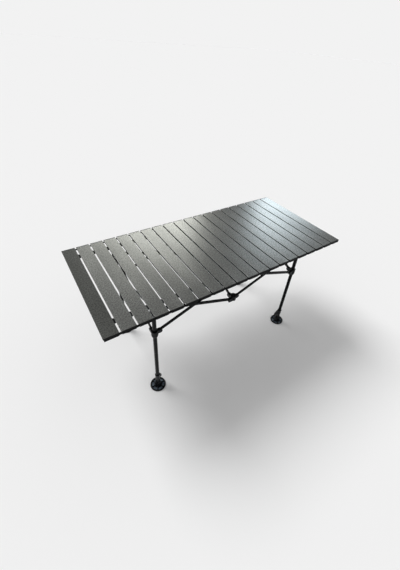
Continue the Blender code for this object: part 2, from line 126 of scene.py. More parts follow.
# The shoes on the legs' ends
FOOT_PIN_HEIGHT = 0.028
FOOT_PIN_RADIUS = 0.003
FOOT_PIN_PLAY = 0.0005
FOOT_PIN_HEAD_RADIUS = 0.005
FOOT_PIN_HEAD = 0.0013
SHOE_RADIUS = 0.0115
SHOE_WAIST = 0.0008
SHOE_NECK_RADIUS = 0.0075
SHOE_NECK = 0.007
SHOE_TOP = 0.088
SHOE_BAND = 0.005
SHOE_BAND_SLOPE = 0.001
SHOE_BORE_FLOOR = 0.056
SHOE_BOTTOM = 0.048
SHOE_ROUND = 0.0008
SHOE_EYE_RADIUS = 0.009
SHOE_EYE_WIDTH = 0.012
SHOE_EYE_SHY = 0.0005
FIN_WIDTH = 0.008
FIN_TOP = 0.084
FIN_SHOULDER = 0.0135
FIN_REACH = 0.025
FIN_ELBOW = 0.058
FIN_BOTTOM = 0.042
FIN_FOOT = 0.050
FOOT_TURN = -30.0

# The foot pads
PAD_RADIUS = 0.0365
PAD_RIM_WIDTH = 0.005
PAD_RIM_HEIGHT = 0.007
PAD_RIM_DRAFT = 0.0005
PAD_RIM_SLOPE = 0.002
PAD_RIM_OVERLAP = 0.001
PAD_WEB = 0.0035
PAD_RECESS = 0.0005
PAD_BOSS_RADIUS = 0.0155
PAD_BOSS_HEIGHT = 0.008
PAD_BOSS_FLARE = 0.0015
PAD_BOSS_ROUND = 0.001
# A thin sheet of painted shade under the foot pads' windows, standing in for shaded floor seen through them
SHADE_SHEET_TOP = 0.0014
SHADE_SHEET_BOTTOM = 0.0004
SHADE_SHEET_ROUND = 0.0002
WINDOW_INNER = 0.019
WINDOW_OUTER = 0.0295
WINDOW_COUNT = 6
WINDOW_CORNER = 0.0015
SPOKE_ANGLE = 13.0
RIB_THICKNESS = 0.0022
RIB_INNER_HEIGHT = 0.0070
RIB_OUTER_HEIGHT = 0.0056
PAD_EAR = 0.005
PAD_EAR_PLAY = 0.0004
PAD_EAR_RADIUS = 0.010
PAD_EAR_BASE = 0.012
PAD_EAR_DROP = 20.0

# Bevels, and the softened edges of turned mouldings
SMALL_BEVEL = 0.0005
PAD_WEB_BEVEL = 0.0004
CHEEK_BEVEL = 0.0007
FOOT_BEVEL = 0.0008
FIN_BEVEL = 0.0012
BAR_BEVEL = 0.0017
MOULDED_ROUND = 0.0012
# A rounded corner takes at most this share of a side, and a domed head's straight rim has this
# share of its height
CORNER_SIDE_SHARE = 0.45
HEAD_RIM_SHARE = 0.45

# Places worked out from the sizes
SLAT_PITCH = SLAT_WIDTH + SLAT_GAP
CHANNEL_HALF = SLAT_WIDTH / 2 - SKIN_OVERHANG
SEAT_Z = TABLE_HEIGHT - SLAT_DEPTH - TOP_SEAT_GAP
UPPER_Z = SEAT_Z - UPPER_PIVOT_DROP
LOWER_Z = UPPER_Z - SCISSOR_HEIGHT
CHEEK_GAP = BAR_THICKNESS + 2 * CHEEK_PLAY
BAR_RUN = HUB_SPACING - 2 * PIVOT_ARM
BAR_LENGTH = math.hypot(BAR_RUN, SCISSOR_HEIGHT)
BAR_OFFSET = (BAR_THICKNESS + BAR_SPREAD) / 2
HUB_END = (HUB_RADIUS - HUB_CHAMFER, HUB_CHAMFER)
BLOCK_WIDTH = EYE_WIDTH + 2 * (FORK_PLAY + FORK_EAR + BLOCK_MARGIN)
PAD_RIM_INNER = PAD_RADIUS - PAD_RIM_WIDTH
ROW_Y = {"f": -HUB_SPACING / 2, "r": HUB_SPACING / 2}
COLUMN_X = {"l": -HUB_SPACING, "c": 0.0, "r": HUB_SPACING}
INWARD = {"f": 90.0, "r": -90.0}
ALONG = {"l": (0.0,), "c": (0.0, 180.0), "r": (180.0,)}

# How round a shape is drawn, how close points are joined, and the angles that make an edge
ROUND_STEPS = 48
PIN_STEPS = 24
EAR_STEPS = 20
BAR_END_STEPS = 16
LINK_STEPS = 12
WINDOW_STEPS = 8
DOME_STEPS = 6
CORNER_STEPS = 3
SAME_SPOT = 1e-4
SAME_CORNER = 1e-6
SAME_POINT = 1e-7
BEVEL_ANGLE = 50.0
CRISP_ANGLE = 40.0

# The parts of a noise's range that are spread over a whole effect
SOFT_NOISE = (0.3, 0.7)
CRISP_NOISE = (0.4, 0.6)


# Nodes and colours


def add(tree, kind, inputs=None, **settings):
    """Adds a node with its settings. An input is given a value or linked from a socket."""
    made = tree.nodes.new(kind)
    for name, value in settings.items():
        setattr(made, name, value)
    for key, value in (inputs or {}).items():
        if isinstance(value, bpy.types.NodeSocket):
            tree.links.new(value, made.inputs[key])
        else:
            made.inputs[key].default_value = value
    return made


def maths(tree, operation, first, second=0.0):
    return add(tree, "ShaderNodeMath", {0: first, 1: second}, operation=operation).outputs[0]


def vector(tree, **parts):
    """A vector from those of its X, Y and Z that aren't zero."""
    return add(tree, "ShaderNodeCombineXYZ", parts).outputs["Vector"]


def linear(hex_colour):
    """An sRGB hex colour as linear red, green, blue and alpha."""
    channels = [int(hex_colour[i:i + 2], 16) / 255 for i in (1, 3, 5)]
    return (*(c / 12.92 if c <= 0.04045 else ((c + 0.055) / 1.055) ** 2.4 for c in channels), 1.0)


def new_material(name):
    material = bpy.data.materials.new(name)
    material.use_nodes = True
    tree = material.node_tree
    tree.nodes.clear()
    shader = add(tree, "ShaderNodeBsdfPrincipled")
    add(tree, "ShaderNodeOutputMaterial", {"Surface": shader.outputs["BSDF"]})
    place = add(tree, "ShaderNodeTexCoord").outputs["Object"]
    return material, tree, shader, place


def grain(tree, place, size_mm, detail=2.0, stretch=(1, 1, 1)):
    """Noise whose lumps are about size_mm across, from 0 to 1."""
    spread = add(tree, "ShaderNodeMapping", {"Vector": place, "Scale": stretch}).outputs["Vector"]
    return add(tree, "ShaderNodeTexNoise", {
        "Vector": spread, "Scale": 1 / (size_mm * MM), "Detail": detail,
    }).outputs["Fac"]


def ranged(tree, value, low, high, source=SOFT_NOISE):
    """A value whose source range is spread from low to high."""
    return add(tree, "ShaderNodeMapRange", {
        "Value": value, "From Min": source[0], "From Max": source[1], "To Min": low, "To Max": high,
    }).outputs["Result"]


def mixed(tree, share, first, second):
    """Two colours mixed by a share of the second. The node has sockets for other kinds of value
    too: its colours come in at 6 and 7 and leave at 2."""
    return add(tree, "ShaderNodeMix", {0: share, 6: first, 7: second}, data_type="RGBA").outputs[2]


def bumped(tree, shader, heights):
    """Joins bumps of (height, depth in millimetres) one on the other."""
    normal = None
    for height, depth_mm in heights:
        inputs = {"Height": height, "Distance": depth_mm * MM, "Strength": 1.0}
        if normal:
            inputs["Normal"] = normal
        normal = add(tree, "ShaderNodeBump", inputs).outputs["Normal"]
    tree.links.new(normal, shader.inputs["Normal"])


# Materials


def powder_coated_slat(name, colour, paler, metal, gloss):
    """Extruded aluminium under a fine-textured grey powder coat: a satin skin whose flakes make it
    mottled. Below the skin the channel's sides and inside are painted near black and without gloss,
    as painted shade for the dark gaps between the slats."""
    material, tree, shader, place = new_material(name)
    # The coat's real grain is about 0.4 mm, drawn coarser here so that it shows
    mottle = grain(tree, place, size_mm=5.0, detail=3.0)
    speckle = grain(tree, place, size_mm=2.0)
    cloud = grain(tree, place, size_mm=90.0, stretch=(1, 0.35, 1))
    # The grey ends at the lower edge of the skin, with a soft border over these heights. Below it lies the
    # painted shade
    skin_foot = TABLE_HEIGHT - SKIN_EDGE
    shade_border = (skin_foot - 0.2 * MM, skin_foot + 0.4 * MM)
    height = add(tree, "ShaderNodeSeparateXYZ", {"Vector": place}).outputs["Z"]
    top = ranged(tree, height, 0.0, 1.0, shade_border)
    base = mixed(tree, ranged(tree, mottle, 0.0, 1.0, CRISP_NOISE), linear(colour), linear(paler))
    base = mixed(tree, ranged(tree, speckle, 0.0, 0.6, CRISP_NOISE), base, linear(paler))
    base = mixed(tree, ranged(tree, cloud, 0.0, 0.35), base, linear(colour))
    # Painted shade: under the skin the colour goes near black, and the metal and gloss go to nothing
    base = mixed(tree, top, linear("#050606"), base)
    tree.links.new(base, shader.inputs["Base Color"])
    tree.links.new(maths(tree, "MULTIPLY", top, metal), shader.inputs["Metallic"])
    tree.links.new(maths(tree, "MULTIPLY", top, gloss), shader.inputs["Specular IOR Level"])
    tree.links.new(ranged(tree, speckle, 0.17, 0.25), shader.inputs["Roughness"])
    bumped(tree, shader, [(mottle, 0.14), (speckle, 0.08)])
    return material


def black_coated_tube(name):
    """Aluminium tube and flat bar with a smooth black powder coat: an even satin skin that
    carries long soft highlights and the faint orange peel of a sprayed coat."""
    material, tree, shader, place = new_material(name)
    peel = grain(tree, place, size_mm=1.6)
    patch = grain(tree, place, size_mm=35.0)
    base = mixed(tree, ranged(tree, patch, 0.0, 1.0), linear("#030404"), linear("#07080a"))
    tree.links.new(base, shader.inputs["Base Color"])
    tree.links.new(ranged(tree, peel, 0.22, 0.30), shader.inputs["Roughness"])
    shader.inputs["Specular IOR Level"].default_value = 0.10
    bumped(tree, shader, [(peel, 0.02)])
    return material


def moulded_nylon(name, colour, paler, roughness, gloss):
    """Glass-filled nylon from a spark-eroded mould: a fine even pebble, with patches that are
    slightly paler and rougher."""
    material, tree, shader, place = new_material(name)
    pebble = grain(tree, place, size_mm=0.7)
    flow = grain(tree, place, size_mm=14.0, detail=3.0)
    base = mixed(tree, ranged(tree, flow, 0.0, 1.0), linear(colour), linear(paler))
    tree.links.new(base, shader.inputs["Base Color"])
    tree.links.new(ranged(tree, flow, *roughness), shader.inputs["Roughness"])
    shader.inputs["Specular IOR Level"].default_value = gloss
    bumped(tree, shader, [(pebble, 0.03)])
    return material


def blackened_steel(name):
    """Steel rivets and pins with a black zinc plating: dark, metallic and a little streaked."""
    material, tree, shader, place = new_material(name)
    streak = grain(tree, place, size_mm=1.2, detail=3.0)
    base = mixed(tree, ranged(tree, streak, 0.0, 1.0), linear("#23262b"), linear("#3d4248"))
    tree.links.new(base, shader.inputs["Base Color"])
    shader.inputs["Metallic"].default_value = 0.9
    tree.links.new(ranged(tree, streak, 0.28, 0.42), shader.inputs["Roughness"])
    bumped(tree, shader, [(streak, 0.01)])
    return material


slat_coat = powder_coated_slat("powder_coated_slat", "#484947", "#91928f", metal=0.55, gloss=0.5)
# Painted shade: a darker, less glossy copy of the slat coat, for the first slat's darker reflection
shaded_first_slat_coat = powder_coated_slat("powder_coated_slat_painted_shade", "#343533", "#5b5c59", metal=0.10, gloss=0.12)
black_coat = black_coated_tube("black_coated_tube")
hub_nylon = moulded_nylon("moulded_nylon_hub", "#030405", "#07090b", roughness=(0.42, 0.54), gloss=0.2)
cap_nylon = moulded_nylon("moulded_nylon_cap", "#020303", "#050607", roughness=(0.50, 0.62), gloss=0.1)
foot_nylon = moulded_nylon("moulded_nylon_foot", "#05070a", "#0b1016", roughness=(0.26, 0.38), gloss=0.3)
# Painted shade: the grey-blue of shaded floor seen through the foot pads' windows
shade_sheet_nylon = moulded_nylon("painted_shade_sheet", "#36414b", "#66717b", roughness=(0.26, 0.38), gloss=0.5)
pin_steel = blackened_steel("blackened_steel_pin")


# Outlines


def arc(centre, radius, start, end, steps):
    """Points along an arc, with its angles in degrees."""
    points = []
    for i in range(steps + 1):
        angle = math.radians(start + (end - start) * i / steps)
        points.append((centre[0] + radius * math.cos(angle), centre[1] + radius * math.sin(angle)))
    return points


def circle(radius, steps):
    return arc((0, 0), radius, 0, 360, steps)[:-1]


def sharp(points):
    """Outline points whose corners all stay sharp."""
    return [(x, y, 0.0) for x, y in points]


def mirrored(right_half):
    """A whole outline from its right half, which starts and ends beside the middle line."""
    return right_half + [(-x, y, corner) for x, y, corner in reversed(right_half)]


def loops_mesh(outlines):
    """Closed outlines in the X-Y plane as loose edges, with each point's corner radius kept."""
    mesh = bpy.data.meshes.new("outline")
    points = []
    edges = []
    for outline in outlines:
        start = len(points)
        count = len(outline)
        points.extend(outline)
        edges.extend((start + i, start + (i + 1) % count) for i in range(count))
    mesh.from_pydata([(x, y, 0.0) for x, y, _ in points], edges, [])
    corners = mesh.attributes.new("corner", "FLOAT", "POINT")
    corners.data.foreach_set("value", [corner for _, _, corner in points])
    return mesh


# Geometry trees


def new_tree(name, inputs):
    """A geometry tree with named inputs, and the sockets that they come in by."""
    tree = bpy.data.node_groups.new(name, "GeometryNodeTree")
    tree.interface.new_socket("Geometry", in_out="INPUT", socket_type="NodeSocketGeometry")
    for label, kind in inputs.items():
        tree.interface.new_socket(label, in_out="INPUT", socket_type="NodeSocket" + kind)
    tree.interface.new_socket("Geometry", in_out="OUTPUT", socket_type="NodeSocketGeometry")
    return tree, tree.nodes.new("NodeGroupInput").outputs


def end_tree(tree, geometry):
    """The tree's end, which turns copies into a real mesh."""
    real = add(tree, "GeometryNodeRealizeInstances", {"Geometry": geometry})
    add(tree, "NodeGroupOutput", {"Geometry": real.outputs["Geometry"]})


def extruded(tree, outline, thickness):
    """Outlines with their corners rounded, filled and made thickness deep, then stood up so that
    the outline's Y is height and its depth runs along Y, half to each side."""
    curve = add(tree, "GeometryNodeMeshToCurve", {"Mesh": outline}).outputs["Curve"]
    corner = add(tree, "GeometryNodeInputNamedAttribute", {"Name": "corner"}, data_type="FLOAT")
    rounded = add(tree, "GeometryNodeFilletCurve", {
        "Curve": curve, "Count": CORNER_STEPS, "Radius": corner.outputs["Attribute"],
    }, mode="POLY").outputs["Curve"]
    face = add(tree, "GeometryNodeFillCurve", {"Curve": rounded}, mode="NGONS").outputs["Mesh"]
    walls = add(tree, "GeometryNodeExtrudeMesh", {
        "Mesh": face, "Offset Scale": thickness, "Individual": False,
    }).outputs["Mesh"]
    back = add(tree, "GeometryNodeFlipFaces", {"Mesh": face}).outputs["Mesh"]
    both = add(tree, "GeometryNodeJoinGeometry")
    tree.links.new(walls, both.inputs["Geometry"])
    tree.links.new(back, both.inputs["Geometry"])
    welded = add(tree, "GeometryNodeMergeByDistance", {
        "Geometry": both.outputs["Geometry"], "Distance": SAME_CORNER,
    }).outputs["Geometry"]
    centred = add(tree, "GeometryNodeTransform", {
        "Geometry": welded, "Translation": vector(tree, Z=maths(tree, "MULTIPLY", thickness, -0.5)),
    }).outputs["Geometry"]
    return add(tree, "GeometryNodeTransform", {
        "Geometry": centred, "Rotation": (math.radians(90), 0, 0),
    }).outputs["Geometry"]


def make_plate_tree():
    """One plate from its outlines."""
    tree, given = new_tree("plate", {"Thickness": "Float"})
    end_tree(tree, extruded(tree, given["Geometry"], given["Thickness"]))
    return tree


def make_slat_tree():
    """The slat's extrusion or its end caps, put in its place along the table by its number."""
    tree, given = new_tree("slat", {
        "Length": "Float", "Ends Apart": "Float", "Number": "Float", "Count": "Float",
        "Pitch": "Float", "Top": "Float",
    })
    shape = extruded(tree, given["Geometry"], given["Length"])
    reach = maths(tree, "MULTIPLY", given["Ends Apart"], 0.5)
    ends = add(tree, "GeometryNodeJoinGeometry")
    for side in (-1, 1):
        shift = vector(tree, Y=maths(tree, "MULTIPLY", reach, side))
        point = add(tree, "GeometryNodePoints", {"Count": 1, "Position": shift}).outputs["Points"]
        tree.links.new(point, ends.inputs["Geometry"])
    spots = add(tree, "GeometryNodeMergeByDistance", {
        "Geometry": ends.outputs["Geometry"], "Distance": SAME_SPOT,
    }).outputs["Geometry"]
    copies = add(tree, "GeometryNodeInstanceOnPoints", {"Points": spots, "Instance": shape})
    middle = maths(tree, "MULTIPLY", maths(tree, "ADD", given["Count"], 1.0), 0.5)
    steps = maths(tree, "SUBTRACT", given["Number"], middle)
    place = vector(tree, X=maths(tree, "MULTIPLY", steps, given["Pitch"]), Z=given["Top"])
    placed = add(tree, "GeometryNodeTransform", {
        "Geometry": copies.outputs["Instances"], "Translation": place,
    })
    end_tree(tree, placed.outputs["Geometry"])
    return tree


def make_row_tree():
    """A shape repeated on a line of points: the links and the pins on their two rows."""
    tree, given = new_tree("row", {"Copies": "Int", "First": "Vector", "Step": "Vector"})
    line = add(tree, "GeometryNodeMeshLine", {
        "Count": given["Copies"], "Start Location": given["First"], "Offset": given["Step"],
    }, mode="OFFSET").outputs["Mesh"]
    copies = add(tree, "GeometryNodeInstanceOnPoints", {"Points": line, "Instance": given["Geometry"]})
    end_tree(tree, copies.outputs["Instances"])
    return tree


def make_ring_tree():
    """A shape repeated round the Z axis: the ribs of a foot pad."""
    tree, given = new_tree("ring", {"Copies": "Int", "Start Angle": "Float"})
    line = add(tree, "GeometryNodeMeshLine", {
        "Count": given["Copies"], "Offset": (0, 0, 0),
    }, mode="OFFSET").outputs["Mesh"]
    number = add(tree, "GeometryNodeInputIndex").outputs["Index"]
    share = maths(tree, "DIVIDE", number, given["Copies"])
    angle = maths(tree, "ADD", maths(tree, "MULTIPLY", share, math.tau), given["Start Angle"])
    copies = add(tree, "GeometryNodeInstanceOnPoints", {
        "Points": line, "Instance": given["Geometry"], "Rotation": vector(tree, Z=angle),
    })
    end_tree(tree, copies.outputs["Instances"])
    return tree


plate_tree = make_plate_tree()
slat_tree = make_slat_tree()
row_tree = make_row_tree()
ring_tree = make_ring_tree()


# Shapes


def evaluated(obj):
    """The plain mesh that an object's modifiers leave. The object goes."""
    bpy.context.scene.collection.objects.link(obj)
    mesh = bpy.data.meshes.new_from_object(obj.evaluated_get(bpy.context.evaluated_depsgraph_get()))
    bpy.data.objects.remove(obj)
    return mesh


def grown(shape, tree, values, bevel=0.0, segments=2):
    """The plain mesh that a tree grows from a shape, with its edges bevelled. The shape stays."""
    obj = bpy.data.objects.new("growing", shape)
    modifier = obj.modifiers.new("grow", "NODES")
    modifier.node_group = tree
    for item in tree.interface.items_tree:
        if item.item_type == "SOCKET" and item.in_out == "INPUT" and item.name in values:
            modifier[item.identifier] = values[item.name]
    if bevel:
        edge = obj.modifiers.new("edge", "BEVEL")
        edge.width = bevel
        edge.segments = segments
        edge.limit_method = "ANGLE"
        edge.angle_limit = math.radians(BEVEL_ANGLE)
    return evaluated(obj)


def plate(outlines, thickness, bevel=0.0, segments=2):
    """A plate whose outline stands in the X-Z plane, thickness deep along Y."""
    return grown(loops_mesh(outlines), plate_tree, {"Thickness": thickness}, bevel, segments)


def cleaned(mesh):
    """Joins double points and turns every face outwards."""
    shape = bmesh.new()
    shape.from_mesh(mesh)
    bmesh.ops.remove_doubles(shape, verts=shape.verts, dist=SAME_POINT)
    bmesh.ops.recalc_face_normals(shape, faces=shape.faces)
    shape.to_mesh(mesh)
    shape.free()
    return mesh


def turned(profile, steps, closed=False):
    """A turned solid about Z. Its profile of radius and height runs down the outer side."""
    mesh = bpy.data.meshes.new("profile")
    edges = [(i, i + 1) for i in range(len(profile) - 1)]
    if closed:
        edges.append((len(profile) - 1, 0))
    mesh.from_pydata([(radius, 0.0, height) for radius, height in profile], edges, [])
    obj = bpy.data.objects.new("turning", mesh)
    screw = obj.modifiers.new("turn", "SCREW")
    screw.steps = steps
    screw.render_steps = steps
    screw.use_merge_vertices = True
    screw.merge_threshold = SAME_CORNER
    return cleaned(evaluated(obj))


def softened(points, radius):
    """An open profile with its inner corners rounded, each no more than its sides allow."""
    result = [points[0]]
    for before, corner, after in zip(points, points[1:], points[2:]):
        here, back, on = Vector(corner), Vector(before), Vector(after)
        to_back, to_on = back - here, on - here
        most = CORNER_SIDE_SHARE * min(to_back.length, to_on.length)
        cut = min(radius / math.tan(to_back.angle(to_on) / 2), most)
        start = here + to_back.normalized() * cut
        end = here + to_on.normalized() * cut
        for i in range(CORNER_STEPS + 1):
            t = i / CORNER_STEPS
            point = start.lerp(here, t).lerp(here.lerp(end, t), t)
            result.append(tuple(point))
    result.append(points[-1])
    return result


def headed_pin(radius, reach, head_radius, head):
    """A pin about Z that reaches as far up as down, with a domed head on each end."""
    rim = head * HEAD_RIM_SHARE
    dome = arc((0, 0), 1.0, 90, 0, DOME_STEPS)
    top = [(head_radius * x, reach + rim + (head - rim) * y) for x, y in dome]
    top[0] = (0, reach + head)
    top.append((head_radius, reach))
    bottom = [(r, -z) for r, z in reversed(top)]
    return turned([*top, (radius, reach), (radius, -reach), *bottom], PIN_STEPS)


def joined(meshes):
    """Several meshes as one."""
    shape = bmesh.new()
    for mesh in meshes:
        shape.from_mesh(mesh)
    result = bpy.data.meshes.new("joined")
    shape.to_mesh(result)
    shape.free()
    return result


def moved(mesh, matrix):
    """A copy of a mesh in another place."""
    copy = mesh.copy()
    copy.transform(matrix)
    return copy


def at(x, y, z, turn=0.0):
    return Matrix.Translation((x, y, z)) @ Matrix.Rotation(math.radians(turn), 4, "Z")


def lying(matrix):
    """A place at which a shape turned about Z lies with its axis along Y."""
    return matrix @ Matrix.Rotation(math.radians(90), 4, "X")


def piece(name, mesh, body, material, replaced=()):
    """A finished piece of the table, with smooth rounds and crisp flats."""
    mesh = cleaned(mesh)
    mesh.name = name
    # A mesh that comes from a geometry tree has an empty material slot
    mesh.materials.clear()
    mesh.materials.append(material)
    mesh.shade_smooth()
    mesh.set_sharp_from_angle(angle=math.radians(CRISP_ANGLE))
    obj = bpy.data.objects.new(name, mesh)
    bpy.context.scene.collection.objects.link(obj)
    weighted = obj.modifiers.new("crisp_flats", "WEIGHTED_NORMAL")
    weighted.keep_sharp = True
    weighted.mode = "FACE_AREA"
    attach(obj, body)
    if replaced:
        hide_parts(*replaced)


# Slats


def extrusion_outline():
    """The slat's section: a skin that stands past the walls of an open channel with lips."""
    edge = SLAT_WIDTH / 2
    inner = CHANNEL_HALF - CHANNEL_WALL
    lip = CHANNEL_HALF - LIP_WIDTH
    return mirrored([
        (edge, 0, SKIN_NOSE_RADIUS),
        (edge, -SKIN_EDGE, SKIN_EDGE_RADIUS),
        (CHANNEL_HALF, -SKIN, CHANNEL_ROOT_RADIUS),
        (CHANNEL_HALF, -SLAT_DEPTH, CHANNEL_FOOT_RADIUS),
        (lip, -SLAT_DEPTH, LIP_RADIUS),
        (lip, LIP_EDGE - SLAT_DEPTH, LIP_RADIUS),
        (inner, LIP_THICKNESS - SLAT_DEPTH, LIP_ROOT_RADIUS),
        (inner, -WEB, WEB_RADIUS),
    ])


def cap_outline():
    """The end cap's face: the slat's own section, filled and a touch smaller."""
    edge = SLAT_WIDTH / 2 - CAP_SHY
    side = CHANNEL_HALF - CAP_SHY
    return mirrored([
        (edge, -CAP_SHY, SKIN_NOSE_RADIUS),
        (edge, -SKIN_EDGE, SKIN_EDGE_RADIUS),
        (side, -SKIN, CHANNEL_ROOT_RADIUS),
        (side, CAP_SHY - SLAT_DEPTH, CAP_FOOT_RADIUS),
    ])


def block_outline():
    """What fills the channel under the skin and over its lips."""
    side = CHANNEL_HALF - CHANNEL_WALL - CAP_SHY
    return mirrored([
        (side, -WEB - CAP_SHY, BLOCK_RADIUS),
        (side, LIP_THICKNESS - SLAT_DEPTH + CAP_SHY, BLOCK_RADIUS),
    ])


def link_outline(side):
    """The side view of a link's ear or eye, with its round end on the hinge axis."""
    root = SLAT_PITCH / 2 - CHANNEL_HALF + CHANNEL_WALL
    end = arc((0, 0), KNUCKLE_RADIUS, -90, 90, LINK_STEPS)
    points = [*end, (-root, KNUCKLE_RADIUS), (-root, -KNUCKLE_RADIUS)]
    return sharp([(side * x, y) for x, y in points])


def lug_outline(side):
    """The end view of a cap's lug, which reaches almost to the middle of the gap."""
    root = CHANNEL_HALF - CAP_SHY - LUG_ROOT
    reach = (SLAT_PITCH - LUG_PLAY) / 2
    return sharp([(side * x, -z) for x, z in (
        (root, LUG_TOP), (root, LUG_BOTTOM), (reach, LUG_BOTTOM), (reach, LUG_TOP),
    )])


def make_link_pin():
    reach = EYE_WIDTH / 2 + FORK_PLAY + FORK_EAR
    corners = [(0, reach), (LINK_PIN_RADIUS, reach), (LINK_PIN_RADIUS, -reach), (0, -reach)]
    return turned(softened(corners, LINK_PIN_ROUND), PIN_STEPS)


def make_slats():
    extrusion = loops_mesh([extrusion_outline()])
    cap = loops_mesh([cap_outline()])
    ear = plate([link_outline(1)], FORK_EAR, SMALL_BEVEL)
    eye = plate([link_outline(-1)], EYE_WIDTH, SMALL_BEVEL)
    block = plate([block_outline()], BLOCK_WIDTH)
    plug = plate([block_outline()], CAP_PLUG)
    lug = {side: plate([lug_outline(side)], LUG_LENGTH, SMALL_BEVEL) for side in (-1, 1)}
    pin = make_link_pin()
    row_y = SLAT_LENGTH / 2 - HINGE_INSET
    rows = {"Copies": 2, "First": (0, -row_y, 0), "Step": (0, 2 * row_y, 0)}
    plug_y = SLAT_LENGTH / 2 - CAP_THICKNESS - CAP_PLUG / 2
    lug_y = SLAT_LENGTH / 2 - LUG_SETBACK - LUG_LENGTH / 2
    ear_y = EYE_WIDTH / 2 + FORK_PLAY + FORK_EAR / 2
    for number in range(1, SLAT_COUNT + 1):
        name = f"slat_{number:02d}"
        # The first slat takes the copy of the coat with painted shade
        coat = shaded_first_slat_coat if number == 1 else slat_coat
        x = (number - (SLAT_COUNT + 1) / 2) * SLAT_PITCH
        common = {"Number": number, "Count": SLAT_COUNT, "Pitch": SLAT_PITCH, "Top": TABLE_HEIGHT}
        body = grown(extrusion, slat_tree, {
            **common, "Length": SLAT_LENGTH - 2 * CAP_THICKNESS, "Ends Apart": 0.0,
        })
        piece(f"{name}_extrusion", body, name, coat, [name])
        caps = grown(cap, slat_tree, {
            **common, "Length": CAP_THICKNESS, "Ends Apart": SLAT_LENGTH - CAP_THICKNESS,
        }, SMALL_BEVEL)
        plugs = [moved(plug, at(x, end * plug_y, TABLE_HEIGHT)) for end in (-1, 1)]
        sides = (1,) * (number < SLAT_COUNT) + (-1,) * (number > 1)
        lugs = [moved(lug[side], at(x, end * lug_y, TABLE_HEIGHT)) for side in sides for end in (-1, 1)]
        piece(f"{name}_end_caps", joined([caps, *plugs, *lugs]), name, cap_nylon)
        shapes = [block]
        if number < SLAT_COUNT:
            hinge = at(SLAT_PITCH / 2, 0, -HINGE_DEPTH)
            shapes += [moved(ear, hinge @ at(0, side * ear_y, 0)) for side in (-1, 1)]
            pins = grown(moved(pin, lying(hinge)), row_tree, rows)
            piece(f"{name}_link_pins", moved(pins, at(x, 0, TABLE_HEIGHT)), name, pin_steel)
        if number > 1:
            shapes.append(moved(eye, at(-SLAT_PITCH / 2, 0, -HINGE_DEPTH)))
        links = grown(joined(shapes), row_tree, rows)
        piece(f"{name}_links", moved(links, at(x, 0, TABLE_HEIGHT)), name, cap_nylon)


# Scissor bars


def bar_place(pivot, along, towards):
    """A bar's place: its pin, the way it runs, and the side that its rivet points to."""
    x_axis = Vector(along).normalized()
    y_axis = Vector(towards)
    z_axis = x_axis.cross(y_axis)
    return Matrix.Translation(pivot) @ Matrix((x_axis, y_axis, z_axis)).transposed().to_4x4()


def make_pair(name, start, heading, first_end, bar, rivet):
    """Two crossed bars between the hub at start and the next hub in the way of heading."""
    way = Vector((math.cos(math.radians(heading)), math.sin(math.radians(heading)), 0))
    right = Vector((way.y, -way.x, 0))
    side = right if first_end == "high" else -right
    slope = -1 if first_end == "high" else 1
    z = UPPER_Z if first_end == "high" else LOWER_Z
    pin = Vector((start[0], start[1], z)) + way * PIVOT_ARM + side * BAR_OFFSET
    rise = Vector((0, 0, slope * SCISSOR_HEIGHT))
    crossing = Vector((start[0], start[1], (UPPER_Z + LOWER_Z) / 2)) + way * (HUB_SPACING / 2)
    outer = bar_place(pin, way * BAR_RUN + rise, -side) @ at(BAR_LENGTH / 2, 0, 0)
    inner = bar_place(crossing - side * BAR_OFFSET, way * BAR_RUN - rise, -side)
    for label, place in (("outer", outer), ("inner", inner)):
        node = f"bar_{name}_{label}"
        piece(f"{node}_flat", moved(bar, place), node, black_coat, [node])
    node = f"bar_{name}_outer"
    piece(f"{node}_rivet", moved(rivet, outer @ at(0, BAR_OFFSET, 0)), node, pin_steel)


def make_bars():
    half = BAR_LENGTH / 2
    radius = BAR_HEIGHT / 2
    outline = arc((half, 0), radius, -90, 90, BAR_END_STEPS)
    outline += arc((-half, 0), radius, 90, 270, BAR_END_STEPS)
    bar = plate([sharp(outline)], BAR_THICKNESS, BAR_BEVEL, segments=4)
    reach = BAR_THICKNESS + BAR_SPREAD / 2
    rivet = moved(headed_pin(PIN_RADIUS, reach, RIVET_HEAD_RADIUS, RIVET_HEAD), lying(at(0, 0, 0)))
    for row in "fr":
        y = ROW_Y[row]
        make_pair(f"{row}l", (COLUMN_X["l"], y), 0, "high", bar, rivet)
        if row == "f":
            make_pair(f"{row}r", (COLUMN_X["c"], y), 0, "low", bar, rivet)
        else:
            make_pair(f"{row}r", (COLUMN_X["r"], y), 180, "high", bar, rivet)
    for column in "lcr":
        make_pair(f"across_{column}", (COLUMN_X[column], ROW_Y["f"]), 90, "high", bar, rivet)


# Hubs


def core_profile(top, bottom, end, bore):
    """The round core of a hub, which narrows at its lower end, and its bore if it has one."""
    end_radius, end_height = end
    outer = [(HUB_RADIUS, top), (HUB_RADIUS, bottom + end_height), (end_radius, bottom)]
    if bore:
        head = [(bore, top - HUB_BORE_END), (bore, top)]
        foot = [(bore, bottom), (bore, bottom + HUB_BORE_END)]
        return softened([*head, *outer, *foot], MOULDED_ROUND)
    return softened([(0, top), *outer, (0, bottom)], MOULDED_ROUND)


def cheek_outline(upper):
    """The side view of a fork's cheek about its pin, which hangs lower on a lower hub."""
    reach = PIVOT_ARM if upper else PIVOT_ARM + LOWER_CHEEK_REACH
    drop = 0 if upper else LOWER_CHEEK_DROP
    outline = arc((reach, -drop), CHEEK_RADIUS, -90, 90, BAR_END_STEPS)
    return sharp(outline + [(HUB_ROOT, CHEEK_RADIUS - drop), (HUB_ROOT, -CHEEK_RADIUS - drop)])


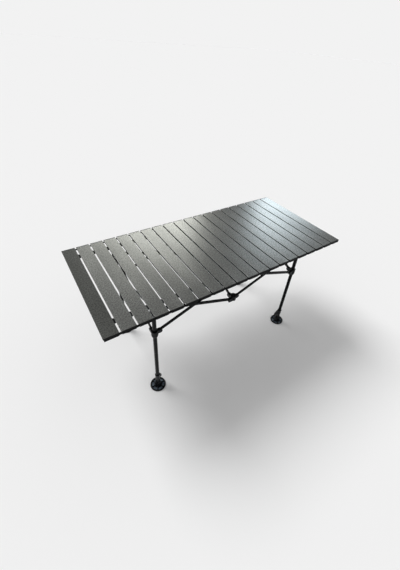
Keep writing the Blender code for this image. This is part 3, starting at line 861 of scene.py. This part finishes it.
def make_hub(name, body, place, headings, upper, top, bottom, end=HUB_END, bore=0):
    """A moulded hub with one fork for each heading, and the fork's pin with domed ends."""
    core = turned(core_profile(top, bottom, end, bore), ROUND_STEPS, bool(bore))
    middle = -BAR_OFFSET if upper else BAR_OFFSET
    cheek_y = (CHEEK_GAP + CHEEK) / 2
    cheek = plate([cheek_outline(upper)], CHEEK, CHEEK_BEVEL)
    pin = headed_pin(PIN_RADIUS, CHEEK_GAP / 2 + CHEEK, HUB_PIN_HEAD_RADIUS, HUB_PIN_HEAD)
    shapes = [core]
    pins = []
    for heading in headings:
        turn = at(0, 0, 0, heading)
        shapes += [moved(cheek, turn @ at(0, middle + y, 0)) for y in (-cheek_y, cheek_y)]
        pins.append(moved(pin, turn @ lying(at(PIVOT_ARM, middle, 0))))
    piece(f"{name}_moulding", moved(joined(shapes), place), body, hub_nylon, [name])
    piece(f"{name}_pins", moved(joined(pins), place), body, pin_steel)


def make_centre_hubs():
    for row in "fr":
        headings = (*ALONG["c"], INWARD[row])
        for level, height, top in (("upper", UPPER_Z, SEAT_Z - UPPER_Z), ("lower", LOWER_Z, CENTRE_HUB_RISE)):
            name = f"{level}_centre_hub_{row}"
            make_hub(name, name, at(0, ROW_Y[row], height), headings, upper=level == "upper",
                     top=top, bottom=-CENTRE_HUB_SKIRT)


# Legs and feet


def window_outline(number):
    """One of the windows between the pad's spokes."""
    pitch = 360 / WINDOW_COUNT
    low = number * pitch - (pitch - SPOKE_ANGLE) / 2
    high = number * pitch + (pitch - SPOKE_ANGLE) / 2
    outer = arc((0, 0), WINDOW_OUTER, low, high, WINDOW_STEPS)
    inner = arc((0, 0), WINDOW_INNER, high, low, WINDOW_STEPS)
    corners = (outer[0], outer[-1], inner[0], inner[-1])
    return [(x, y, WINDOW_CORNER if (x, y) in corners else 0.0) for x, y in outer + inner]


def make_pad_rim():
    """The rim of a foot pad, about Z and up from the floor."""
    return turned(softened([
        (PAD_RIM_INNER, PAD_WEB), (PAD_RIM_INNER + PAD_RIM_DRAFT, PAD_RIM_HEIGHT),
        (PAD_RADIUS - PAD_RIM_SLOPE, PAD_RIM_HEIGHT), (PAD_RADIUS, PAD_WEB), (PAD_RADIUS, 0),
        (PAD_RIM_INNER, 0), (PAD_RIM_INNER, PAD_WEB),
    ], MOULDED_ROUND), 2 * ROUND_STEPS)


def make_pad_boss():
    """The boss in the middle of a foot pad, about Z and up from the floor."""
    foot_radius = PAD_BOSS_RADIUS + PAD_BOSS_FLARE
    return turned(softened([
        (0, PAD_BOSS_HEIGHT), (PAD_BOSS_RADIUS, PAD_BOSS_HEIGHT), (foot_radius, PAD_WEB),
        (foot_radius, PAD_RECESS), (0, PAD_RECESS),
    ], PAD_BOSS_ROUND), ROUND_STEPS)


def make_pad_ribs():
    """The ribs of a foot pad, one along each spoke from the boss into the rim, up from zero."""
    rib = plate([sharp([
        (PAD_BOSS_RADIUS, 0), (PAD_RIM_INNER + PAD_RIM_OVERLAP, 0),
        (PAD_RIM_INNER + PAD_RIM_OVERLAP, RIB_OUTER_HEIGHT), (PAD_BOSS_RADIUS, RIB_INNER_HEIGHT),
    ])], RIB_THICKNESS, SMALL_BEVEL)
    return grown(rib, ring_tree, {"Copies": WINDOW_COUNT, "Start Angle": math.pi / WINDOW_COUNT})


def make_pad():
    """A round foot pad about its foot pin, which runs along X, with six windows in its web."""
    middle = PAD_WEB / 2 - FOOT_PIN_HEIGHT
    web = plate([sharp(circle(PAD_RIM_INNER + PAD_RIM_OVERLAP, ROUND_STEPS)),
                 *map(window_outline, range(WINDOW_COUNT))], PAD_WEB, PAD_WEB_BEVEL)
    flat = moved(web, at(0, 0, middle) @ Matrix.Rotation(math.radians(-90), 4, "X"))
    rim = moved(make_pad_rim(), at(0, 0, -FOOT_PIN_HEIGHT))
    boss = moved(make_pad_boss(), at(0, 0, -FOOT_PIN_HEIGHT))
    ribs = moved(make_pad_ribs(), at(0, 0, PAD_RECESS - FOOT_PIN_HEIGHT))
    outline = arc((0, 0), PAD_EAR_RADIUS, -PAD_EAR_DROP, 180 + PAD_EAR_DROP, EAR_STEPS)
    outline += [(-PAD_EAR_BASE, middle), (PAD_EAR_BASE, middle)]
    ear = plate([sharp(outline)], PAD_EAR, FOOT_BEVEL, segments=3)
    ear_x = (SHOE_EYE_WIDTH + PAD_EAR) / 2 + PAD_EAR_PLAY
    ears = [moved(ear, at(x, 0, 0, 90)) for x in (-ear_x, ear_x)]
    return joined([flat, rim, boss, ribs, *ears])


def make_shade_sheet():
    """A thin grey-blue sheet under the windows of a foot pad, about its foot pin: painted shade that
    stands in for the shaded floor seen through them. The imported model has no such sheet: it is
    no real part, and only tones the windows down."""
    radius = PAD_RIM_INNER + PAD_RIM_OVERLAP
    shade_sheet = turned(softened([
        (0, SHADE_SHEET_TOP), (radius, SHADE_SHEET_TOP), (radius, SHADE_SHEET_BOTTOM), (0, SHADE_SHEET_BOTTOM),
    ], SHADE_SHEET_ROUND), ROUND_STEPS)
    return moved(shade_sheet, at(0, 0, -FOOT_PIN_HEIGHT))


def make_foot_pin():
    """The pin that a foot pad tilts on, along X."""
    reach = SHOE_EYE_WIDTH / 2 + PAD_EAR_PLAY + PAD_EAR
    pin = headed_pin(FOOT_PIN_RADIUS, reach, FOOT_PIN_HEAD_RADIUS, FOOT_PIN_HEAD)
    return moved(pin, lying(at(0, 0, 0, 90)))


def make_shoe(inward):
    """A shoe about its foot pin, which runs along X: a collar for the leg, an eye below it and a
    fin on the side of the table's middle, which lies in the inward heading."""
    bore = LEG_RADIUS + LEG_FIT
    waist = SHOE_RADIUS - SHOE_WAIST
    band = SHOE_TOP - SHOE_BAND
    collar = turned(softened([
        (0, SHOE_BORE_FLOOR), (bore, SHOE_BORE_FLOOR), (bore, SHOE_TOP), (SHOE_RADIUS, SHOE_TOP),
        (SHOE_RADIUS, band), (waist, band - SHOE_BAND_SLOPE), (waist, SHOE_BOTTOM + SHOE_NECK),
        (SHOE_NECK_RADIUS, SHOE_BOTTOM), (0, SHOE_BOTTOM),
    ], SHOE_ROUND), ROUND_STEPS)
    root = SHOE_BORE_FLOOR - FOOT_PIN_HEIGHT - SHOE_EYE_SHY
    outline = arc((0, 0), SHOE_EYE_RADIUS, -180, 0, EAR_STEPS)
    outline += [(SHOE_EYE_RADIUS, root), (-SHOE_EYE_RADIUS, root)]
    hole = circle(FOOT_PIN_RADIUS + FOOT_PIN_PLAY, PIN_STEPS)
    eye = plate([sharp(outline), sharp(hole)], SHOE_EYE_WIDTH, FOOT_BEVEL, segments=3)
    fin_root = (bore + SHOE_RADIUS) / 2
    fin = plate([sharp([
        (fin_root, FIN_TOP), (FIN_SHOULDER, FIN_TOP), (FIN_REACH, FIN_ELBOW),
        (FIN_REACH, FIN_BOTTOM), (fin_root, FIN_FOOT),
    ])], FIN_WIDTH, FIN_BEVEL, segments=3)
    return joined([
        moved(collar, at(0, 0, -FOOT_PIN_HEIGHT)),
        moved(eye, at(0, 0, 0, 90)),
        moved(fin, at(0, 0, -FOOT_PIN_HEIGHT, inward - FOOT_TURN)),
    ])


def make_leg_tube():
    foot = SHOE_BORE_FLOOR + LEG_FIT
    head = SEAT_Z - TOP_HUB_ROOF - LEG_FIT
    inner = LEG_RADIUS - LEG_WALL
    return turned([(inner, head), (LEG_RADIUS, head), (LEG_RADIUS, foot), (inner, foot)], ROUND_STEPS, True)


def make_legs():
    tube = make_leg_tube()
    pad = make_pad()
    shade_sheet = make_shade_sheet()
    foot_pin = make_foot_pin()
    for row in "fr":
        for column in "lr":
            name = row + column
            leg = f"leg_{name}"
            place = at(COLUMN_X[column], ROW_Y[row], 0)
            headings = (*ALONG[column], INWARD[row])
            make_hub(f"top_hub_{name}", leg, place @ at(0, 0, UPPER_Z), headings, upper=True,
                     top=SEAT_Z - UPPER_Z, bottom=-TOP_HUB_SKIRT)
            make_hub(f"slider_{name}", f"slider_{name}", place @ at(0, 0, LOWER_Z), headings, upper=False,
                     top=SLIDER_RISE, bottom=-SLIDER_SKIRT, end=(SLIDER_END_RADIUS, SLIDER_TAPER),
                     bore=LEG_RADIUS + SLIDER_FIT)
            piece(f"leg_tube_{name}_drawn", moved(tube, place), leg, black_coat, [f"leg_tube_{name}"])
            stand = place @ at(0, 0, FOOT_PIN_HEIGHT, FOOT_TURN)
            shoe = make_shoe(math.degrees(math.atan2(-ROW_Y[row], -COLUMN_X[column])))
            piece(f"foot_shoe_{name}_moulding", moved(shoe, stand), leg, foot_nylon,
                  [f"foot_shoe_{name}"])
            body = f"foot_pad_{name}"
            piece(f"{body}_moulding", moved(pad, stand), body, foot_nylon, [body])
            # Each foot pad gets the sheet of painted shade under its windows
            piece(f"{body}_tray", moved(shade_sheet, stand), body, shade_sheet_nylon)
            piece(f"{body}_pin", moved(foot_pin, stand), body, pin_steel)


make_slats()
make_bars()
make_centre_hubs()
make_legs()


# Floor, lights and camera

PHOTO_WIDTH = 400
PHOTO_HEIGHT = 570
SENSOR = 36.0
FOCAL_PIXELS = 291.6
CENTRE_PIXEL = (206.5, 264.4)
CAMERA_PLACE = Vector((-0.6889, -0.8927, 1.3328))
CAMERA_TARGET = Vector((-0.1022, -0.1095, TABLE_HEIGHT))
CAMERA_ROLL = 4.9
FLOOR_REACH = 40

# The light: the sky and the sun together light the floor just to its own colour
PAPER = "#f2f2f2"
SKY = 0.49
SUN_POWER = 2.09
SUN_ANGLE = 28.0
SUN_WAY = Vector((0.262, -0.587, -0.766))

# What gloss shows. A window has its soft side edges, round from +X, and its soft top edge, each as
# the angles in degrees where it is dark and where it is lit, then its colour and its strength
ROOM_GLOSS = 0.16
WARM_WINDOW = (((54.0, 58.0), (92.0, 64.0)), (44.0, 26.0), "#fefff8", 5.4)
COOL_WINDOW = (((27.0, 42.5), (45.5, 42.5)), (37.0, 25.0), "#e8f6ff", 7.2)


def make_camera():
    data = bpy.data.cameras.new("camera")
    data.sensor_width = SENSOR
    data.lens = FOCAL_PIXELS * SENSOR / PHOTO_HEIGHT
    data.shift_x = (PHOTO_WIDTH / 2 - CENTRE_PIXEL[0]) / PHOTO_HEIGHT
    data.shift_y = (CENTRE_PIXEL[1] - PHOTO_HEIGHT / 2) / PHOTO_HEIGHT
    camera = bpy.data.objects.new("camera", data)
    look = (CAMERA_TARGET - CAMERA_PLACE).to_track_quat("-Z", "Y").to_matrix().to_4x4()
    camera.matrix_world = (Matrix.Translation(CAMERA_PLACE) @ look
                           @ Matrix.Rotation(math.radians(CAMERA_ROLL), 4, "Z"))
    bpy.context.scene.collection.objects.link(camera)
    bpy.context.scene.camera = camera


def make_floor():
    """A wide pale floor that takes the table's shadow."""
    mesh = bpy.data.meshes.new("floor")
    shape = bmesh.new()
    bmesh.ops.create_grid(shape, x_segments=1, y_segments=1, size=FLOOR_REACH)
    shape.to_mesh(mesh)
    shape.free()
    floor = bpy.data.objects.new("floor", mesh)
    bpy.context.scene.collection.objects.link(floor)
    material = bpy.data.materials.new("matt_pale_floor")
    material.use_nodes = True
    shader = material.node_tree.nodes["Principled BSDF"]
    shader.inputs["Base Color"].default_value = linear(PAPER)
    shader.inputs["Roughness"].default_value = 1.0
    shader.inputs["Specular IOR Level"].default_value = 0.0
    mesh.materials.append(material)


def ramp(tree, value, dark, lit):
    """How far a value has gone from the dark end of a soft edge to its lit end, from 0 to 1."""
    return add(tree, "ShaderNodeMapRange", {
        "Value": value, "From Min": dark, "From Max": lit,
    }, interpolation_type="SMOOTHSTEP").outputs["Result"]


def background(tree, colour, strength):
    return add(tree, "ShaderNodeBackground", {"Color": colour, "Strength": strength}).outputs[0]


def make_window(tree, around, height, sides, top, colour, glow):
    """A tall window that only gloss shows. Its soft edges lie at angles in degrees."""
    share = ramp(tree, height, *top)
    for edge in sides:
        share = maths(tree, "MULTIPLY", share, ramp(tree, around, *edge))
    return background(tree, linear(colour), maths(tree, "MULTIPLY", share, glow))


def make_world():
    """A studio with soft white light all round. Gloss shows a dimmer room with two windows behind
    the table, a warm one to the left and a cool one to the right, and the camera sees the paper."""
    world = bpy.data.worlds.new("studio")
    world.use_nodes = True
    tree = world.node_tree
    tree.nodes.clear()
    way = add(tree, "ShaderNodeSeparateXYZ", {
        "Vector": add(tree, "ShaderNodeTexCoord").outputs["Generated"],
    }).outputs
    around = maths(tree, "DEGREES", maths(tree, "ARCTAN2", way["Y"], way["X"]))
    height = maths(tree, "DEGREES", maths(tree, "ARCSINE", way["Z"]))
    room = add(tree, "ShaderNodeBackground", {"Strength": ROOM_GLOSS}).outputs[0]
    for sides, top, colour, glow in (WARM_WINDOW, COOL_WINDOW):
        window = make_window(tree, around, height, sides, top, colour, glow)
        room = add(tree, "ShaderNodeAddShader", {0: room, 1: window}).outputs[0]
    path = add(tree, "ShaderNodeLightPath").outputs
    air = background(tree, (1, 1, 1, 1), SKY)
    seen = background(tree, linear(PAPER), 1.0)
    lit = add(tree, "ShaderNodeMixShader", {0: path["Is Glossy Ray"], 1: air, 2: room}).outputs[0]
    both = add(tree, "ShaderNodeMixShader", {0: path["Is Camera Ray"], 1: lit, 2: seen}).outputs[0]
    add(tree, "ShaderNodeOutputWorld", {"Surface": both})
    bpy.context.scene.world = world


def make_sun():
    """The key light, from behind on the left, which throws the shadow forward to the right."""
    data = bpy.data.lights.new("key", "SUN")
    data.energy = SUN_POWER
    data.angle = math.radians(SUN_ANGLE)
    sun = bpy.data.objects.new("key", data)
    sun.matrix_world = SUN_WAY.to_track_quat("-Z", "Y").to_matrix().to_4x4()
    bpy.context.scene.collection.objects.link(sun)


make_camera()
make_floor()
make_world()
make_sun()
bpy.context.scene.view_settings.view_transform = "Standard"

bpy.context.view_layer.update()
